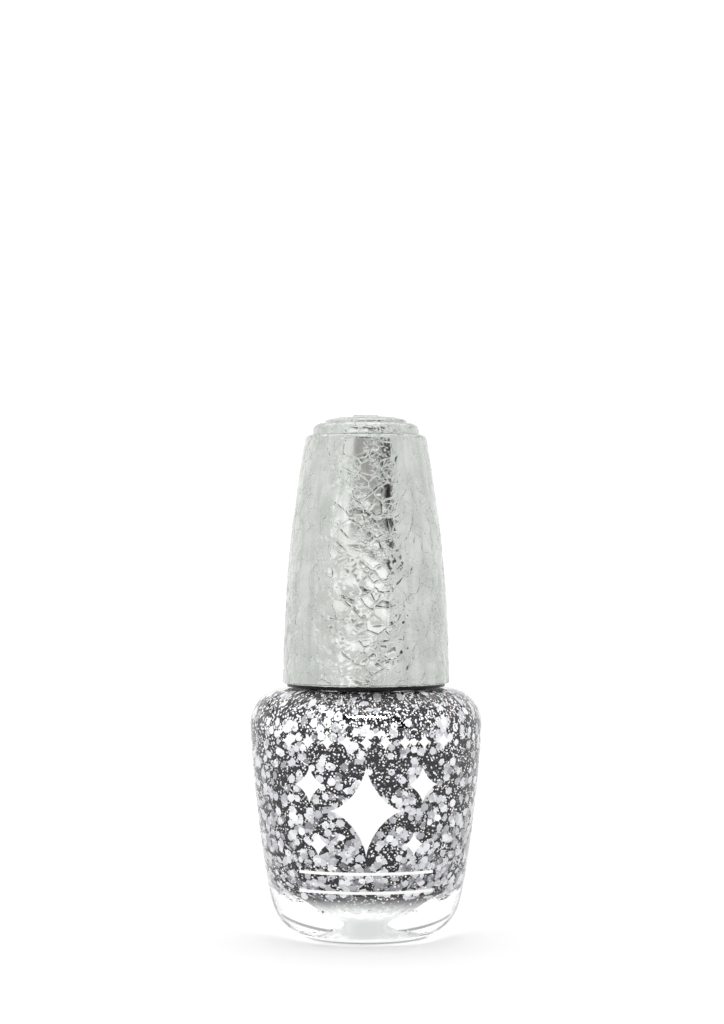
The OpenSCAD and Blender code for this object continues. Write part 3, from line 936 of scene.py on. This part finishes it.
def make_foil_cap():
    """The cap's shell, with the relief of its crackled foil on the outside."""
    outside = cap_outside(FOIL_STEP)
    inside = joined(line((0, CAP_ROOF_Z), (cap_side_r(CAP_ROOF_Z) - CAP_T, CAP_ROOF_Z), 1.5),
                    cap_side(CAP_T, CAP_ROOF_Z, CAP_Z, 2.5))
    outline = np.vstack([inside, outside])
    rows_in = len(inside)
    normals = outline_normals(outline)[rows_in:]

    def crackle(points):
        """Moves the outside along its normals by the relief, which fades out at the edge and the middle."""
        relief = foil_relief(points[rows_in:].reshape(-1, 3)).reshape(-1, FOIL_SEGMENTS)
        edge = np.clip((outside[:, 1] - CAP_Z) / EDGE_FADE, 0, 1)
        centre = np.clip(outside[:, 0] / CENTRE_FADE, 0, 1)
        relief = relief * (edge * centre)[:, None]
        angle = np.linspace(0, 2 * np.pi, FOIL_SEGMENTS, endpoint=False)
        radial = relief * normals[:, :1]
        points[rows_in:, :, 0] += radial * np.cos(angle)
        points[rows_in:, :, 1] += radial * np.sin(angle)
        points[rows_in:, :, 2] += relief * normals[:, 1:]
        return points

    cap = lathe("foil_cap", outline, FOIL_SEGMENTS, [crackled_foil()], move=crackle)
    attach(cap, "cap")
    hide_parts("outer_cap")


# ---------------------------------------------------------------- brush
TUFT_SEED = 21
FILAMENTS = 230
FILAMENT_STEPS = 14
FILAMENT_SIDES = 5
FILAMENT_R = 0.05
FILAMENT_TIP_R = 0.018
FILAMENT_TAPER_AT = 0.75
ROOT_DEPTH = 3.6
TIP_ROOM = 0.15
TIP_ROUND = 1.6
TIP_SCATTER = 0.5
OUTERMOST = 0.97
SWAY = 0.04
SWAY_WAVES = 5
SWAY_STARTS = 6
# Heights in the tuft, and the share of its radius that the filaments fill there.
TUFT_HEIGHTS = [TIP_Z, TIP_Z + 1.5, TIP_Z + 6, STEM_Z - 4, STEM_Z, STEM_Z + 4]
TUFT_SHARES = [0.45, 0.75, 0.94, 0.94, 0.54, 0.5]


def filament(rng):
    """Points of one filament, as rings from its root in the stem to its tip. The outer ones end higher up."""
    root_z = STEM_Z + ROOT_DEPTH
    t = np.linspace(0, 1, FILAMENT_STEPS + 1)
    spot = math.sqrt(rng.random()) * OUTERMOST
    way = rng.random() * 2 * np.pi
    tip_z = TIP_Z + TIP_ROOM + TIP_ROUND * spot * spot + rng.uniform(0, TIP_SCATTER)
    z = root_z + (tip_z - root_z) * t
    out = spot * np.interp(z, TUFT_HEIGHTS, TUFT_SHARES) * TUFT_R
    sway = SWAY * np.sin(t * SWAY_WAVES + rng.random() * SWAY_STARTS) * t
    x = (out * math.cos(way) + sway)[:, None]
    y = (out * math.sin(way) + sway)[:, None]
    thick = np.interp(t, [0, FILAMENT_TAPER_AT, 1], [FILAMENT_R, FILAMENT_R, FILAMENT_TIP_R])[:, None]
    angle = np.arange(FILAMENT_SIDES) * 2 * np.pi / FILAMENT_SIDES
    heights = np.repeat(z[:, None], FILAMENT_SIDES, axis=1)
    return np.stack([x + thick * np.cos(angle), y + thick * np.sin(angle), heights], axis=2).reshape(-1, 3)


def close_ends(tuft):
    """Closes both ends of every filament."""
    shape = bmesh.new()
    shape.from_mesh(tuft.data)
    bmesh.ops.holes_fill(shape, edges=[e for e in shape.edges if e.is_boundary], sides=FILAMENT_SIDES)
    shape.to_mesh(tuft.data)
    shape.free()


def make_bristles():
    """Tapered filaments that leave the socket together, swell to a belly and close at the tip."""
    rng = np.random.default_rng(TUFT_SEED)
    verts = np.vstack([filament(rng) for _ in range(FILAMENTS)])
    faces = lathe_faces(FILAMENT_STEPS + 1, FILAMENT_SIDES, closed=False)[:, ::-1]
    starts = np.arange(FILAMENTS) * (FILAMENT_STEPS + 1) * FILAMENT_SIDES
    faces = (starts[:, None, None] + faces[None]).reshape(-1, 4)
    tuft = mesh_piece("bristle_tuft", verts, faces, [bristle_nylon()])
    close_ends(tuft)
    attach(tuft, "brush")
    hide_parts("brush_bristles")


# ---------------------------------------------------------------- CAD pieces that stay
def finish_node(name, material):
    """Gives a CAD node its material."""
    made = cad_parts[name]
    made.data.materials.clear()
    made.data.materials.append(material)


def finish_cad_pieces():
    """Materials of the pieces whose CAD shape is already right."""
    finish_node("front_print", white_ink())
    finish_node("inner_cap", black_plastic())
    finish_node("cap_liner", liner_foam())
    finish_node("brush_stem", stem_plastic())
    finish_node("bristle_anchor", anchor_wire())
    finish_node("mixing_balls", ball_steel())


# ---------------------------------------------------------------- stage
# Places and sizes on the stage are in metres.
CAMERA_PLACE = (-0.00055, -0.394, 0.0586)
CAMERA_LENS = 100
CAMERA_SENSOR = 36
FLOOR_SIZE = 6.0
STRIP_AIM = (0, 0, 0.03)
STRIP_DISTANCE = 0.6
# The cards of the light tent: azimuths, elevations and softness in degrees, then the shade. Azimuth 0 is
# over the camera, and a later card covers an earlier one.
TENT_CARDS = [
    ((-150, -126, -8, 80, 7), (1.3, 1.3, 1.27)),
    ((-52, -25, -2, 56, 5), (1.45, 1.45, 1.45)),
    ((-44, 44, -3, 12, 4), (1.72, 1.72, 1.72)),
    ((-24, 35, 12, 30, 3), (0.66, 0.62, 0.62)),
    ((-36, 42, 31, 48, 3), (0.06, 0.06, 0.06)),
    ((30, 44, 6, 30, 1.5), (0.0, 0.0, 0.0)),
    ((-48, 36, 52, 91, 3), (1.7, 1.7, 1.7)),
    ((-186, -140, 40, 91, 4), (1.7, 1.7, 1.7)),
    ((140, 186, 40, 91, 4), (1.7, 1.7, 1.7)),
    ((-184, -116, 22.5, 27, 1.5), (0.4, 0.4, 0.4)),
    ((116, 184, 22.5, 27, 1.5), (0.4, 0.4, 0.4)),
]
TENT_SHADE = 1.18


def window(tree, value, low, high, soft):
    """1 between low and high and 0 outside, with soft edges."""
    rise = remap(tree, value, low - soft, low + soft, 0.0, 1.0, smooth=True)
    fall = remap(tree, value, high - soft, high + soft, 1.0, 0.0, smooth=True)
    return times(tree, rise, fall)


def card(tree, azimuth, elevation, edges, shade, under):
    """A card in the tent, over what is under it. edges is as in TENT_CARDS."""
    az_low, az_high, el_low, el_high, soft = np.radians(edges).tolist()
    across = window(tree, azimuth, az_low, az_high, soft)
    up = window(tree, elevation, el_low, el_high, soft)
    return colour_mix(tree, times(tree, across, up), under, shade)


def make_tent():
    """A white light tent. Its grey and black cards give the metal something to reflect."""
    world = bpy.data.worlds.new("light_tent")
    bpy.context.scene.world = world
    world.use_nodes = True
    tree = world.node_tree
    tree.nodes.clear()
    way = add_node(tree, "ShaderNodeTexCoord").outputs["Generated"]
    split = add_node(tree, "ShaderNodeSeparateXYZ", {0: way})
    ahead = times(tree, split.outputs["Y"], -1.0)
    azimuth = add_node(tree, "ShaderNodeMath", {0: split.outputs["X"], 1: ahead}, operation="ARCTAN2")
    azimuth = azimuth.outputs[0]
    elevation = add_node(tree, "ShaderNodeMath", {0: split.outputs["Z"]}, operation="ARCSINE").outputs[0]
    light = (TENT_SHADE,) * 3
    for edges, shade in TENT_CARDS:
        light = card(tree, azimuth, elevation, edges, shade, light)
    back = add_node(tree, "ShaderNodeBackground", {"Color": light, "Strength": 1.0})
    output = add_node(tree, "ShaderNodeOutputWorld")
    tree.links.new(back.outputs[0], output.inputs["Surface"])


def strip_light(name, azimuth, elevation, size, power, lit):
    """A soft box that faces the bottle and lights only the pieces in the collection lit. Azimuth 0 is the
    camera's side, and +90 is +X. size is its width and height."""
    az, el = math.radians(azimuth), math.radians(elevation)
    way = Vector((math.sin(az) * math.cos(el), -math.cos(az) * math.cos(el), math.sin(el)))
    data = bpy.data.lights.new(name, "AREA")
    data.shape = "RECTANGLE"
    data.size, data.size_y = size
    data.energy = power
    lamp = bpy.data.objects.new(name, data)
    lamp.location = Vector(STRIP_AIM) + way * STRIP_DISTANCE
    lamp.rotation_mode = "QUATERNION"
    lamp.rotation_quaternion = (-way).to_track_quat("-Z", "Y")
    lamp.visible_camera = False
    lamp.light_linking.receiver_collection = lit
    bpy.context.scene.collection.objects.link(lamp)


def make_stage():
    """Floor, light tent and camera."""
    material, _, _ = principled("pale_floor", (0.93, 0.93, 0.93), roughness=0.8)
    half = FLOOR_SIZE / 2 / MM
    floor = mesh_piece("floor", [(-half, -half, 0), (half, -half, 0), (half, half, 0), (-half, half, 0)],
                       [[0, 1, 2, 3]], [material], smooth=False)
    make_tent()
    camera = bpy.data.objects.new("camera", bpy.data.cameras.new("camera"))
    camera.data.lens = CAMERA_LENS
    camera.data.sensor_width = CAMERA_SENSOR
    camera.location = CAMERA_PLACE
    camera.rotation_euler = (math.radians(90), 0, 0)
    bpy.context.scene.collection.objects.link(camera)
    bpy.context.scene.camera = camera
    bpy.context.scene.view_settings.view_transform = "Standard"


def make_highlights(piece):
    """Narrow soft boxes that draw highlights on the piece."""
    lit = bpy.data.collections.new("highlighted")
    lit.objects.link(piece)
    strip_light("front_strip", azimuth=0, elevation=42, size=(0.36, 0.08), power=8.5, lit=lit)
    strip_light("left_strip", azimuth=-50, elevation=50, size=(0.1, 0.06), power=1.8, lit=lit)


make_stage()
glass = make_glass()
make_core()
make_flakes()
make_dust("glitter_dust_near", seed=31, count=9500, nearest=0.06, farthest=0.45)
make_dust("glitter_dust_deep", seed=32, count=8000, nearest=0.4, farthest=0.95)
make_foil_cap()
make_bristles()
finish_cad_pieces()
make_highlights(glass)
